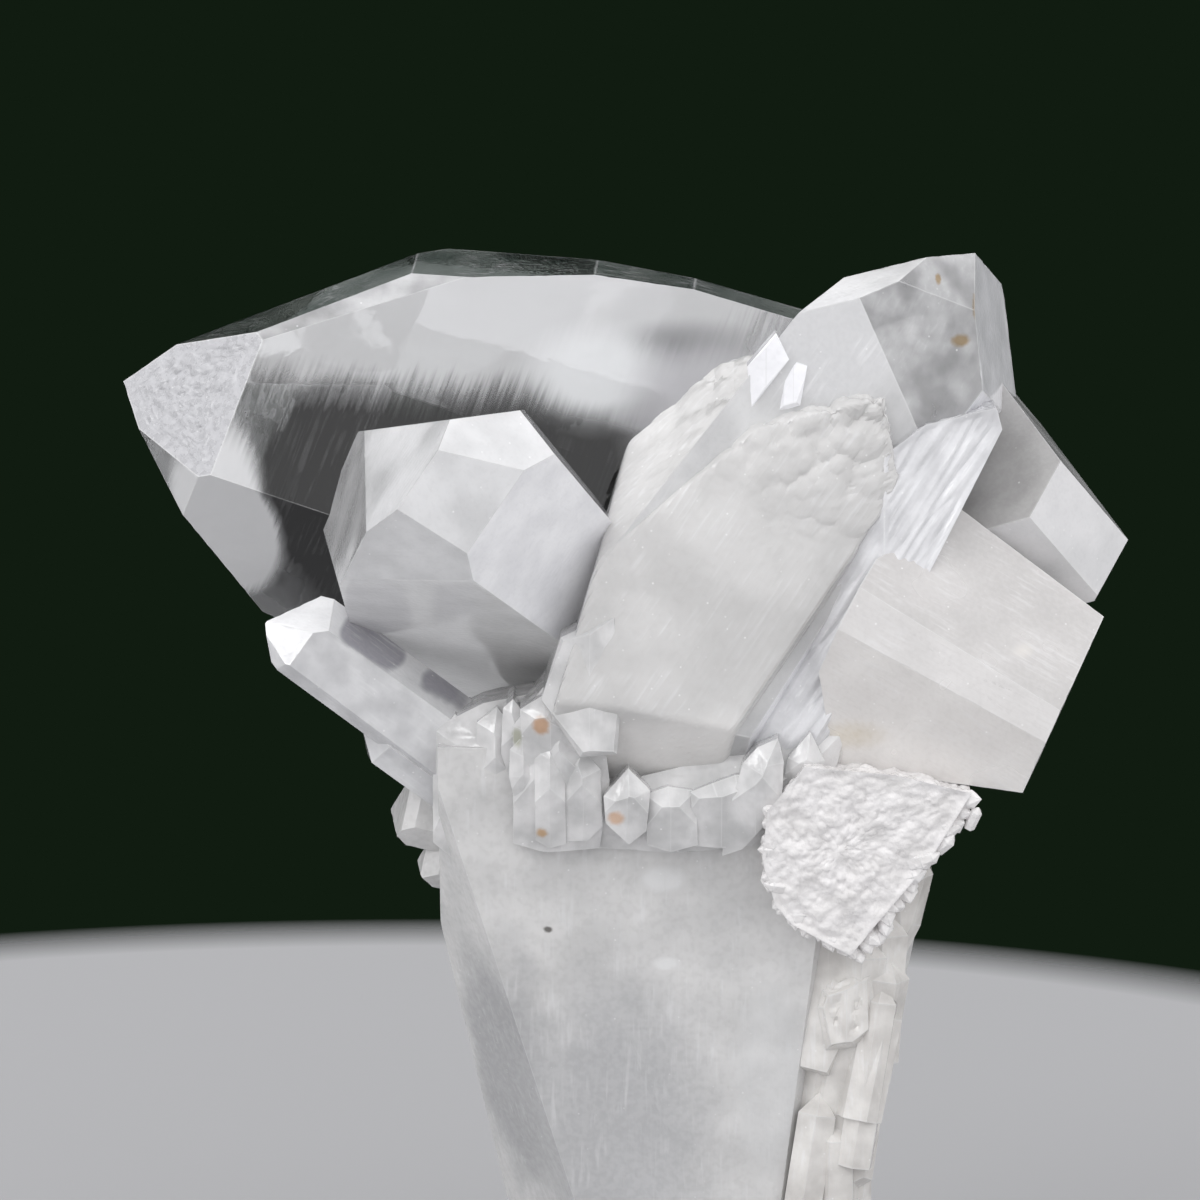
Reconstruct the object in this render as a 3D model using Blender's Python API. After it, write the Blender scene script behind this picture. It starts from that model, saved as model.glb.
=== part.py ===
"""Lemurian quartz cluster: one grown-together specimen of milky and clear quartz crystals.

Every member is a quartz crystal, so its faces keep the angles that quartz has: prism faces lie
along the crystal's long axis, and the normal of a tip face leans 51.8 degrees from it. A crystal is
a block cut by one plane for each face. The members are joined into one closed solid, which is cut
off flat at its foot. Sizes are in metres, +Z is up, +X is right and -Y is the front.
"""
import math
import random

import bmesh
import bpy
from mathutils import Matrix, Vector

NAME = "quartz_cluster"
MM = 0.001
SEED = 7

# Angles of a face's outward normal from the crystal's long axis, in degrees
TIP = 51.8
PRISM = 90.0

# Block that a crystal is cut from, in millimetres, and the distance in metres under which two
# points of a cut are one
BLOCK = 260.0
CUT_DISTANCE = 1e-7


def unit(azimuth, rise):
    """Direction with a compass angle from +X in the XY plane and a rise above it, in degrees."""
    turn, lift = math.radians(azimuth), math.radians(rise)
    return Vector((math.cos(lift) * math.cos(turn), math.cos(lift) * math.sin(turn), math.sin(lift)))


UP = Vector((0.0, 0.0, 1.0))
DOWN = -UP
# Long axes of the large crystals
CLEAR_AXIS = unit(-179.0, 21.4)
UPRIGHT_AXIS = unit(12.3, 54.8)
FRONT_AXIS = unit(-115.3, 24.0)
SLENDER_AXIS = unit(-164.2, 37.1)
BLOCKY_AXIS = unit(3.1, -29.1)
BACK_AXIS = unit(51.9, -37.1)
# Hearts of the large crystals, the points that their faces are measured from, in millimetres
CLEAR_HEART = Vector((-18.2, 12.0, 100.8))
UPRIGHT_HEART = Vector((22.9, 0.0, 100.1))
FRONT_HEART = Vector((-15.6, -18.0, 90.4))
SLENDER_HEART = Vector((-24.6, -12.0, 77.7))
BLOCKY_HEART = Vector((31.8, -4.0, 77.5))
BACK_HEART = Vector((43.7, 12.0, 88.5))
TRUNK_HEART = Vector((5.0, 7.0, 50.0))
# Turn of the upright crystal's first face about its long axis, in degrees
UPRIGHT_ROLL = 178.7


def crystal_frame(axis, roll):
    """Side, up and long directions of a crystal; roll turns the first two about the long axis."""
    side = UP.cross(axis)
    if side.length < CUT_DISTANCE:
        side = Vector((1.0, 0.0, 0.0))
    side = Matrix.Rotation(math.radians(roll), 3, axis) @ side.normalized()
    return side, axis.cross(side), axis


def face_normal(frame, turn, lean):
    """Outward normal of a face: turn about the long axis and lean away from it, in degrees."""
    side, up, axis = frame
    flat = math.cos(math.radians(turn)) * side + math.sin(math.radians(turn)) * up
    return math.sin(math.radians(lean)) * flat + math.cos(math.radians(lean)) * axis


def cut_solid(mesh, point, normal):
    """Cut away what lies outside a plane and close the cut with one flat face."""
    geometry = mesh.verts[:] + mesh.edges[:] + mesh.faces[:]
    cut = bmesh.ops.bisect_plane(mesh, geom=geometry, dist=CUT_DISTANCE, plane_co=point,
                                 plane_no=normal, clear_outer=True)
    rim = [item for item in cut["geom_cut"] if isinstance(item, bmesh.types.BMEdge)]
    if rim:
        bmesh.ops.edgeloop_fill(mesh, edges=rim)


def new_object(name, mesh):
    """Object from an edit mesh, with its faces turned out."""
    bmesh.ops.remove_doubles(mesh, verts=mesh.verts, dist=1e-6)
    bmesh.ops.recalc_face_normals(mesh, faces=mesh.faces)
    data = bpy.data.meshes.new(name)
    mesh.to_mesh(data)
    mesh.free()
    solid = bpy.data.objects.new(name, data)
    bpy.context.scene.collection.objects.link(solid)
    return solid


def crystal(name, heart, axis, roll, faces, foot, cuts=()):
    """Closed crystal about its heart, all lengths in millimetres.

    faces holds (turn, lean, reach) for each plane: its direction about and away from the long
    axis, and its distance from the heart. foot is how far the crystal runs back from the heart.
    cuts holds (point, normal) of breaks that follow no crystal face.
    """
    heart = Vector(heart) * MM
    frame = crystal_frame(axis, roll)
    mesh = bmesh.new()
    bmesh.ops.create_cube(mesh, size=BLOCK * MM, matrix=Matrix.Translation(heart))
    for turn, lean, reach in faces:
        normal = face_normal(frame, turn, lean)
        cut_solid(mesh, heart + normal * reach * MM, normal)
    cut_solid(mesh, heart - axis * foot * MM, -axis)
    for point, normal in cuts:
        cut_solid(mesh, Vector(point) * MM, Vector(normal).normalized())
    return new_object(name, mesh)


def even_crystal(name, tip, axis, roll, radius, length, cuts=()):
    """Small crystal with six like sides and a sharp point, placed by its point."""
    point_length = radius * math.tan(math.radians(TIP))
    axis = axis.normalized()
    heart = Vector(tip) - axis * point_length
    reach = radius * math.sin(math.radians(TIP))
    faces = [(60.0 * i, PRISM, radius) for i in range(6)]
    faces += [(60.0 * i, TIP, reach) for i in range(6)]
    return crystal(name, heart, axis, roll, faces, length - point_length, cuts)


def slab(name, outline, front, back, lean=0.0):
    """Flat body with a bulging outline of (x, z) points, from its front to its back y."""
    corners = [Vector((x, 0.0, z)) for x, z in outline]
    middle = sum(corners, Vector()) / len(corners)
    mesh = bmesh.new()
    bmesh.ops.create_cube(mesh, size=BLOCK * MM, matrix=Matrix.Translation(middle * MM))
    for start, end in zip(corners, corners[1:] + corners[:1]):
        along = end - start
        normal = Vector((along.z, 0.0, -along.x)).normalized()
        if normal.dot(start - middle) < 0.0:
            normal = -normal
        cut_solid(mesh, start * MM, normal)
    tilt = Vector((0.0, -math.cos(math.radians(lean)), -math.sin(math.radians(lean))))
    cut_solid(mesh, Vector((middle.x, front, middle.z)) * MM, tilt)
    cut_solid(mesh, Vector((middle.x, back, middle.z)) * MM, Vector((0.0, 1.0, 0.0)))
    return new_object(name, mesh)


def join(base, other):
    """Union of two closed solids, kept in the first."""
    union = base.modifiers.new("join", 'BOOLEAN')
    union.operation = 'UNION'
    union.solver = 'EXACT'
    union.object = other
    depsgraph = bpy.context.evaluated_depsgraph_get()
    joined = bpy.data.meshes.new_from_object(base.evaluated_get(depsgraph))
    base.modifiers.clear()
    base.data = joined
    bpy.data.objects.remove(other)


def drop_voids(item):
    """Leave only the outer skin, so that no hollow is shut in between the members."""
    mesh = bmesh.new()
    mesh.from_mesh(item.data)
    unseen = set(mesh.faces)
    skins = []
    while unseen:
        skin = []
        ready = [unseen.pop()]
        while ready:
            face = ready.pop()
            skin.append(face)
            beside = {near for edge in face.edges for near in edge.link_faces} & unseen
            unseen -= beside
            ready.extend(beside)
        skins.append(skin)
    skins.sort(key=len)
    bmesh.ops.delete(mesh, geom=[face for skin in skins[:-1] for face in skin], context='FACES')
    mesh.to_mesh(item.data)
    mesh.free()


def trunk():
    """Milky crystal that carries all the others; it narrows towards its foot."""
    faces = [
        (-90.0, 96.0, 17.0), (-150.0, 108.0, 24.0), (150.0, 93.0, 16.5), (180.0, 90.0, 24.0),
        (90.0, 96.0, 21.0), (30.0, 101.0, 22.5), (-30.0, 99.0, 20.0), (0.0, 0.0, 19.0),
    ]
    return crystal("trunk", TRUNK_HEART, UP, 0.0, faces, TRUNK_HEART.z)


def clear_crystal():
    """Large clear crystal at the back, lying with its point to the left."""
    faces = [
        (0.0, 87.1, 7.2), (60.0, 69.4, 13.35), (60.0, 77.7, 15.3), (60.0, 84.9, 18.0),
        (120.0, 86.9, 13.6), (180.0, 88.0, 25.0), (-120.0, 84.3, 27.8), (-60.0, 90.3, 17.7),
        (0.0, TIP, 17.2), (60.0, TIP, 13.9), (120.0, TIP, 13.9), (180.0, TIP, 22.5),
        (-60.0, TIP, 27.0), (-120.0, TIP, 27.3), (24.5, 69.4, 11.4),
    ]
    return crystal("clear", CLEAR_HEART, CLEAR_AXIS, 16.0, faces, 48.0)


def upright_crystal():
    """Tall crystal on the right, clear at its point and milky at its foot."""
    faces = [
        (0.0, PRISM, 12.0), (-60.0, PRISM, 20.9), (-120.0, 86.5, 6.6), (180.0, 88.0, 20.0),
        (120.0, 89.5, 16.9), (60.0, 88.8, 10.4),
        (0.0, TIP, 16.4), (-60.0, TIP, 17.2), (-120.0, TIP, 11.0), (180.0, TIP, 18.0),
        (120.0, TIP, 19.9), (60.0, TIP, 13.5),
    ]
    return crystal("upright", UPRIGHT_HEART, UPRIGHT_AXIS, UPRIGHT_ROLL, faces, 70.0,
                   [((-7.1, 0.0, 75.5), Vector((-0.96, 0.0, 0.28))), ((0.0, 0.0, 63.5), DOWN)])


def overgrowth():
    """Milky second growth on the front of the upright crystal, parallel to it."""
    faces = [
        (0.0, PRISM, 13.5), (60.0, PRISM, 9.9), (180.0, PRISM, 0.0),
        (-60.0, TIP, 8.7), (0.0, TIP, 12.0), (60.0, TIP, 5.6),
    ]
    return crystal("overgrowth", UPRIGHT_HEART, UPRIGHT_AXIS, UPRIGHT_ROLL, faces, 70.0,
                   [((6.2, 0.0, 92.0), Vector((-0.94, 0.0, 0.35))), ((0.0, 0.0, 65.0), DOWN)])


def front_crystal():
    """Short fat crystal in front, with its point up, left and forward."""
    faces = [
        (0.0, PRISM, 7.3), (-60.0, PRISM, 6.4), (-88.0, 91.0, 10.4), (74.0, 96.0, 11.8),
        (127.3, 68.8, 11.9), (-169.3, 59.1, 15.7), (-125.4, 70.9, 13.5),
        (0.0, 48.9, 13.2), (-60.0, 68.7, 8.8), (180.0, 44.4, 11.5), (60.0, 49.0, 15.8),
        (-156.4, 53.9, 11.4),
    ]
    return crystal("front", FRONT_HEART, FRONT_AXIS, -27.1, faces, 34.0)


def slender_crystal():
    """Slender clear crystal at the lower left."""
    faces = [
        (0.0, PRISM, -0.9), (60.0, PRISM, -1.0), (120.0, PRISM, 5.0), (180.0, PRISM, 12.0),
        (-120.0, PRISM, 7.2), (-60.0, 89.3, 4.5),
        (0.0, TIP, 3.6), (60.0, TIP, 2.8), (-60.0, TIP, 8.0), (180.0, TIP, 9.6),
        (-120.0, TIP, 10.6),
    ]
    return crystal("slender", SLENDER_HEART, SLENDER_AXIS, -0.5, faces, 30.0)


def under_crystal():
    """Small crystal along the underside of the slender one."""
    return even_crystal("under", (-26.8, -8.0, 71.2), SLENDER_AXIS, 20.0, 2.6, 22.0)


def blocky_crystal():
    """Blocky milky crystal at the right, its end towards the right."""
    faces = [
        (0.0, 88.6, 10.8), (29.0, PRISM, 12.4), (60.0, PRISM, 12.7), (120.0, 69.1, 12.7),
        (180.0, PRISM, 18.0), (-120.0, PRISM, 15.0), (-60.0, 81.7, 11.5), (10.5, 11.0, 12.5),
    ]
    return crystal("blocky", BLOCKY_HEART, BLOCKY_AXIS, 143.6, faces, 20.0)


def back_crystal():
    """Crystal at the back right, behind the blocky one."""
    faces = [
        (0.0, PRISM, 10.6), (-60.0, PRISM, 4.4), (-120.0, PRISM, 12.0), (180.0, PRISM, 14.0),
        (120.0, PRISM, 14.0), (60.0, PRISM, 12.0),
        (0.0, 50.7, 7.0), (-60.0, TIP, 2.8), (60.0, TIP, 8.7), (180.0, TIP, 14.0),
    ]
    return crystal("back", BACK_HEART, BACK_AXIS, -172.0, faces, 17.0)


def girdle(rng):
    """Small crystals that stand round the front of the trunk, under the upright crystal."""
    places = ((-17.2, 70.5, 3.2), (-13.0, 71.0, 3.0), (-8.6, 71.3, 2.4), (-9.5, 68.0, 2.2),
              (-6.2, 67.6, 2.2), (-3.2, 66.3, 2.0), (-0.3, 67.3, 2.6), (3.6, 65.3, 2.4),
              (6.8, 64.8, 2.6), (10.6, 67.0, 2.8), (14.2, 70.7, 2.4), (17.8, 71.0, 1.8))
    solids = []
    for x, z, radius in places:
        y = -13.8 - 1.4 * math.cos(math.radians(5.0 * x)) + rng.uniform(-0.5, 0.5)
        axis = Vector((0.018 * x + rng.uniform(-0.08, 0.08), -0.2, 1.0))
        solids.append(even_crystal("girdle", (x, y, z), axis, rng.uniform(0.0, 60.0), radius,
                                   rng.uniform(11.0, 14.0)))
    return solids


def frosted_fan(rng):
    """Rough fan of quartz under the blocky crystal, with small points over its lower end."""
    outline = [(16.0, 68.5), (13.4, 63.5), (12.9, 58.5), (14.3, 53.5), (16.0, 51.6), (22.3, 48.0),
               (23.6, 48.2), (29.2, 58.0), (34.8, 64.6), (34.0, 68.5)]
    solids = [slab("fan", outline, -14.5, 6.0, 14.0)]
    for i in range(34):
        down = (i + 0.5) / 34.0
        half = 8.5 - 6.5 * down
        place = Vector((22.5 + rng.uniform(-half, half), -17.6 + 4.6 * down, 66.5 - 16.0 * down))
        axis = Vector((rng.uniform(-0.5, 0.5), -1.0, rng.uniform(-0.6, 0.1)))
        solids.append(even_crystal("fan_point", place, axis, rng.uniform(0.0, 60.0),
                                   rng.uniform(1.1, 1.9), 6.5))
    return solids


def side_crust(rng):
    """Crust of upright flaky crystals down the right side of the trunk, cut off at its foot."""
    core = [(22.0, 58.0), (28.5, 55.0), (29.5, 52.0), (25.5, 41.0), (23.5, 22.0), (19.5, 0.0),
            (13.5, 0.0), (17.0, 30.0)]
    solids = [slab("crust", core, -5.0, 11.0)]
    count = 40
    for i in range(count):
        height = 55.0 - 45.0 * i / count
        x = 17.6 + 0.17 * (height - 10.0) + rng.uniform(-3.2, 2.0)
        tip = Vector((x, rng.uniform(-9.0, 9.0), height))
        axis = Vector((0.14 + rng.uniform(-0.15, 0.15), rng.uniform(-0.15, 0.15), 1.0))
        solids.append(even_crystal("flake", tip, axis, rng.uniform(0.0, 60.0),
                                   rng.uniform(1.3, 2.6), rng.uniform(13.0, 19.0),
                                   [((0.0, 0.0, 0.0), DOWN)]))
    solids.append(even_crystal("flake", (31.6, -2.0, 52.6), Vector((1.0, 0.0, 0.25)), 8.0, 3.2, 14.0))
    return solids


def side_bumps():
    """Blunt small crystals on the left side of the trunk."""
    solids = []
    axis = Vector((-1.0, -0.15, 0.25)).normalized()
    for heart, radius in (((-21.0, 1.0, 60.2), 3.0), ((-18.9, 2.0, 54.8), 2.1)):
        faces = [(60.0 * i, PRISM, radius) for i in range(6)] + [(0.0, 8.0, 2.2)]
        faces += [(60.0 * i, TIP, 0.95 * radius) for i in range(0, 6, 2)]
        solids.append(crystal("bump", heart, axis, 12.0, faces, 8.0))
    return solids


def rear_crystals():
    """Crystals that fill the back of the specimen, between the trunk and the clear crystal."""
    places = (
        ((14.0, 44.0, 70.0), (0.25, 0.9, 0.35), 8.0), ((-9.0, 41.0, 63.0), (-0.35, 0.9, 0.3), 6.5),
        ((28.0, 37.0, 86.0), (0.6, 0.75, 0.3), 7.5), ((2.0, 38.0, 52.0), (0.0, 1.0, 0.15), 5.0),
        ((19.0, 36.0, 48.0), (0.4, 0.9, 0.0), 4.5), ((-17.0, 31.0, 55.0), (-0.7, 0.7, 0.1), 4.0),
        ((27.0, 27.0, 60.0), (0.9, 0.5, 0.1), 5.5), ((9.0, 36.0, 36.0), (0.1, 1.0, -0.1), 3.5),
    )
    solids = []
    for i, (tip, axis, radius) in enumerate(places):
        solids.append(even_crystal("rear", tip, Vector(axis), 17.0 * i, radius, 26.0))
    return solids


def members():
    """All that grows from the trunk, in the order it is joined."""
    rng = random.Random(SEED)
    large = [clear_crystal(), upright_crystal(), overgrowth(), front_crystal(), slender_crystal(),
             under_crystal(), blocky_crystal(), back_crystal()]
    return (large + girdle(rng) + frosted_fan(rng) + side_crust(rng) + side_bumps()
            + rear_crystals())


def quartz(name):
    """Milky quartz: pale, glossy and a little translucent."""
    material = bpy.data.materials.new(name)
    material.use_nodes = True
    shader = material.node_tree.nodes["Principled BSDF"]
    shader.inputs["Base Color"].default_value = (0.78, 0.77, 0.75, 1.0)
    shader.inputs["Roughness"].default_value = 0.25
    shader.inputs["Metallic"].default_value = 0.0
    return material


def build():
    """Join the members to the trunk, cut the foot flat and put the middle of the box at the origin."""
    solid = trunk()
    for member in members():
        join(solid, member)
    drop_voids(solid)
    corners = [vertex.co for vertex in solid.data.vertices]
    low = Vector([min(co[i] for co in corners) for i in range(3)])
    high = Vector([max(co[i] for co in corners) for i in range(3)])
    middle = (low + high) / 2.0
    solid.data.transform(Matrix.Translation((-middle.x, -middle.y, -low.z)))
    solid.name = solid.data.name = NAME
    solid.data.materials.clear()
    solid.data.materials.append(quartz("milky_quartz"))
    collection = bpy.data.collections.new(NAME)
    bpy.context.scene.collection.children.link(collection)
    bpy.context.scene.collection.objects.unlink(solid)
    collection.objects.link(solid)


if __name__ == "__main__":
    for item in list(bpy.data.objects):
        bpy.data.objects.remove(item)
    build()
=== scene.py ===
"""Looks of a lemurian quartz cluster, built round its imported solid. Metres, +Z up, -Y is the front."""
import math
import random

import bpy
import numpy as np
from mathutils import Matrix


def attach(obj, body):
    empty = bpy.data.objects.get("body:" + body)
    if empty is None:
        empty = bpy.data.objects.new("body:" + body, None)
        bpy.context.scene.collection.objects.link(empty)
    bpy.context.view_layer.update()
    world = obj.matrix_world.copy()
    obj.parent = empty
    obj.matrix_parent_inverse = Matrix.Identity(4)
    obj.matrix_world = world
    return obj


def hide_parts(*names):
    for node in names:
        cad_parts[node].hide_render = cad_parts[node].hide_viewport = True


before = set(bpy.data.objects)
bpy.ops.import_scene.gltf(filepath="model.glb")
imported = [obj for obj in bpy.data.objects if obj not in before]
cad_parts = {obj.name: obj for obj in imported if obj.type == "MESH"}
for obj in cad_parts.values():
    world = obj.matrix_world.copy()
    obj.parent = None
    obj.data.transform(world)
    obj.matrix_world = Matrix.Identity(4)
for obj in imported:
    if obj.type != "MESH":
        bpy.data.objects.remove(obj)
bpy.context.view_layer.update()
MM = 0.001


# Trunk. One milky crystal carries all the others. It tapers down to a foot that was broken off
# and sawn flat, its faces are glassy with fine growth steps, and its inside is full of tiny
# veils and bubbles that make it white.
TIP_LEAN = 51.8
WELD_SHIFT = 0.318
EDGE_WIDTH = 0.13
CHIP_DEPTH = 0.09
UP = np.array([0.0, 0.0, 1.0])
DOWN = -UP


def direction(azimuth, rise):
    """Unit vector at a compass angle from +X and a rise above the XY plane, in degrees."""
    turn, lift = math.radians(azimuth), math.radians(rise)
    return np.array([math.cos(lift) * math.cos(turn), math.cos(lift) * math.sin(turn), math.sin(lift)])


def crystal_frame(axis, roll):
    """Rows are side, up and long axis. The side is level and is then turned by roll about the axis."""
    side = np.cross([0.0, 0.0, 1.0], axis)
    length = np.linalg.norm(side)
    side = side / length if length > 1e-6 else np.array([1.0, 0.0, 0.0])
    spin = math.radians(roll)
    side = side * math.cos(spin) + np.cross(axis, side) * math.sin(spin)
    return np.array([side, np.cross(axis, side), axis])


def face_planes(axis, roll, faces, foot, cuts, heart):
    """Normals and reaches of a crystal's planes, in millimetres from its heart.

    A face at turn t and lean l has the normal sin l (cos t side + sin t up) + cos l axis. The foot
    plane looks back along the axis, and a cut is a plane through a point.
    """
    rows = crystal_frame(axis, roll)
    turn, lean, reach = np.array(faces, float).T
    turn, lean = np.radians(turn), np.radians(lean)
    local = np.stack([np.sin(lean) * np.cos(turn), np.sin(lean) * np.sin(turn), np.cos(lean)], axis=1)
    normals, reaches = [local @ rows, -axis[None, :]], [reach, [foot]]
    for point, normal in cuts:
        normal = np.array(normal, float) / np.linalg.norm(normal)
        normals.append(normal[None, :])
        reaches.append([float(normal @ (np.array(point) - heart))])
    return rows, np.concatenate(normals), np.concatenate(reaches)


def corner_points(normals, reaches):
    """Corners of the body inside all planes: each three planes meet in a point, kept if inside."""
    count = len(normals)
    i, j, k = [index.ravel() for index in np.meshgrid(*[np.arange(count)] * 3, indexing="ij")]
    keep = (i < j) & (j < k)
    trio = np.stack([i, j, k], axis=1)[keep]
    matrix = normals[trio]
    good = np.abs(np.linalg.det(matrix)) > 1e-6
    points = np.linalg.solve(matrix[good], reaches[trio[good]][:, :, None])[:, :, 0]
    inside = (points @ normals.T <= reaches + 1e-5).all(axis=1)
    return np.unique(points[inside].round(6), axis=0)


def smooth_noise(points, size, seed):
    """Sum of plane waves in seeded directions and phases, about -1 to 1, with that wave size."""
    rng = np.random.default_rng(seed)
    waves = rng.normal(size=(9, 3))
    waves *= (2.0 * math.pi / size) * rng.uniform(0.6, 1.5, (9, 1)) / np.linalg.norm(waves, axis=1, keepdims=True)
    return np.sin(points @ waves.T + rng.uniform(0.0, 2.0 * math.pi, 9)).sum(axis=1) / 4.5


def bubbles(points, size, seed):
    """Rounded lumps, 0 to 1: each cube of a lattice holds one seeded centre with a dome round it."""
    table = np.random.default_rng(seed).uniform(0.0, 1.0, (16, 16, 16, 4))
    scaled = points / size
    cell = np.floor(scaled).astype(int)
    height = np.zeros(len(points))
    for shift in np.stack(np.meshgrid([-1, 0, 1], [-1, 0, 1], [-1, 0, 1]), axis=-1).reshape(-1, 3):
        corner = cell + shift
        drawn = table[corner[:, 0] % 16, corner[:, 1] % 16, corner[:, 2] % 16]
        gap = ((scaled - corner - drawn[:, :3]) ** 2).sum(axis=1) / (0.35 + 0.55 * drawn[:, 3]) ** 2
        height = np.maximum(height, np.sqrt(np.clip(1.0 - gap, 0.0, 1.0)) * (0.4 + 0.6 * drawn[:, 3]))
    return height


def growth(swell=0.04, size=9.0, lines=0.01, spacing=0.6):
    """Relief of a grown face: a slow swell plus uneven growth lines square to the long axis."""
    def relief(points, number, along, across):
        wave = smooth_noise(points, size, 11 + number)
        step = np.sin(along * 2.0 * math.pi / spacing + 3.0 * smooth_noise(points, 2.0 * size, 31 + number))
        return swell * wave + lines * step * (0.5 + 0.5 * smooth_noise(points, size, 51 + number))
    return relief


def faceted_surface(planes, step, relief, fine=None):
    """Closed crystal surface, each flat face one polar grid from its rim to its middle.

    On a face, point(s, t) = middle + t (rim(s) - middle): s runs round the rim in steps of about
    step, and t falls from 1 at the rim to 0, first by one narrow edge band. relief gives how far
    each point moves out along the normal; it is faded to nothing at the rim, so neighbouring faces
    keep one sharp shared edge, with small chips that pull the rim in. fine gives a face its own
    step. Returns points, quads, face numbers and an edge mark that is 1 on the rims.
    """
    rows, normals, reaches = planes
    corners = corner_points(normals, reaches)
    vertices, quads, marks, edges, total = [], [], [], [], 0
    for number, (normal, reach) in enumerate(zip(normals, reaches)):
        ring = corners[np.abs(corners @ normal - reach) < 1e-4]
        if len(ring) < 3:
            continue
        middle = ring.mean(axis=0)
        across = np.cross(normal, rows[2])
        if np.linalg.norm(across) < 1e-3:
            across = np.cross(normal, rows[0])
        across /= np.linalg.norm(across)
        along = np.cross(normal, across)
        flat = ring - middle
        ring = ring[np.argsort(np.arctan2(flat @ along, flat @ across))]
        ends = np.roll(ring, -1, axis=0)
        pieces = np.maximum(1, np.round(np.linalg.norm(ends - ring, axis=1) / step).astype(int))
        edge = np.repeat(np.arange(len(ring)), pieces)
        share = (np.arange(pieces.sum()) - np.repeat(np.cumsum(pieces) - pieces, pieces)) / pieces[edge]
        rim = ring[edge] + share[:, None] * (ends - ring)[edge]
        widest = np.linalg.norm(flat, axis=1).max()
        levels = max(2, int(widest / (fine or {}).get(number, step)))
        t = np.linspace(1.0 - min(EDGE_WIDTH / (0.6 * widest), 0.4), 0.0, levels + 1)[:-1]
        t = np.concatenate([[1.0], t])
        levels += 1
        grid = middle + t[:, None, None] * (rim - middle)
        points = np.concatenate([grid.reshape(-1, 3), middle[None, :]])
        tangent = ends - ring
        inward = np.cross(normal, tangent / np.linalg.norm(tangent, axis=1, keepdims=True))
        edge_distance = ((points[:, None, :] - ring) * inward).sum(axis=2).min(axis=1)
        fade = np.clip(edge_distance / (1.5 * step) - 0.15, 0.0, 1.0)
        points = points + (relief(points, number, points @ rows[2], points @ across) * fade)[:, None] * normal
        on_rim = np.arange(len(points)) < len(rim)
        chip = CHIP_DEPTH * np.clip(smooth_noise(rim, 1.7, 5) - 0.25, 0.0, 1.0)
        points[:len(rim)] -= chip[:, None] * rim / np.linalg.norm(rim, axis=1, keepdims=True)
        columns = len(rim)
        a = np.arange(levels - 1)[:, None] * columns + np.arange(columns)
        b = np.arange(levels - 1)[:, None] * columns + np.roll(np.arange(columns), -1)
        band = np.stack([a, b, b + columns, a + columns], axis=2).reshape(-1, 4)
        last = (levels - 1) * columns + np.arange(columns)
        hub = np.full(columns, levels * columns)
        fan = np.stack([last, np.roll(last, -1), hub, hub], axis=1)
        vertices.append(points)
        quads.append(np.concatenate([band, fan]) + total)
        marks.append(np.full(len(quads[-1]), number))
        edges.append(on_rim.astype(float))
        total += len(points)
    return np.concatenate(vertices), np.concatenate(quads), np.concatenate(marks), np.concatenate(edges)


def rounded_surface(planes, sharp, rings, around, relief=None):
    """Closed crystal surface with worn edges, one grid of directions from its middle.

    The reach in a direction d is (sum over planes of (n.d / plane distance) ^ sharp) ^ (-1 / sharp):
    a high sharp gives nearly flat faces, a low one melts them together. The rows of the grid run
    along the crystal as on an ellipse of its length and width.
    """
    rows, normals, reaches = planes
    corners = corner_points(normals, reaches)
    middle = corners.mean(axis=0)
    reach = reaches - normals @ middle
    half = np.abs((corners - middle) @ rows[2]).max()
    flat = (corners - middle) - ((corners - middle) @ rows[2])[:, None] * rows[2]
    width = np.linalg.norm(flat, axis=1).max()
    lift = np.linspace(-0.5 * math.pi, 0.5 * math.pi, rings + 2)[1:-1]
    turn = np.arange(around) * 2.0 * math.pi / around
    ring = np.stack([width * np.cos(lift)[:, None] * np.cos(turn), width * np.cos(lift)[:, None] * np.sin(turn),
                     half * np.sin(lift)[:, None] * np.ones(around)], axis=2).reshape(-1, 3)
    out = np.concatenate([ring, [[0.0, 0.0, -1.0], [0.0, 0.0, 1.0]]])
    out = (out / np.linalg.norm(out, axis=1, keepdims=True)) @ rows
    share = np.clip(out @ normals.T, 0.0, None) / reach
    weight = share ** sharp
    points = middle + out * (weight.sum(axis=1) ** (-1.0 / sharp))[:, None]
    if relief is not None:
        outward = weight @ normals
        outward /= np.linalg.norm(outward, axis=1, keepdims=True)
        points = points + relief(points, 0, points @ rows[2], points @ rows[0])[:, None] * outward
    a = np.arange(rings - 1)[:, None] * around + np.arange(around)
    b = np.arange(rings - 1)[:, None] * around + np.roll(np.arange(around), -1)
    band = np.stack([a, b, b + around, a + around], axis=2).reshape(-1, 4)
    first, last = np.arange(around), (rings - 1) * around + np.arange(around)
    low, high = np.full(around, rings * around), np.full(around, rings * around + 1)
    caps = [np.stack([np.roll(first, -1), first, low, low], axis=1),
            np.stack([last, np.roll(last, -1), high, high], axis=1)]
    quads = np.concatenate([band] + caps)
    return points, quads, np.zeros(len(quads), int), np.zeros(len(points))


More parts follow.
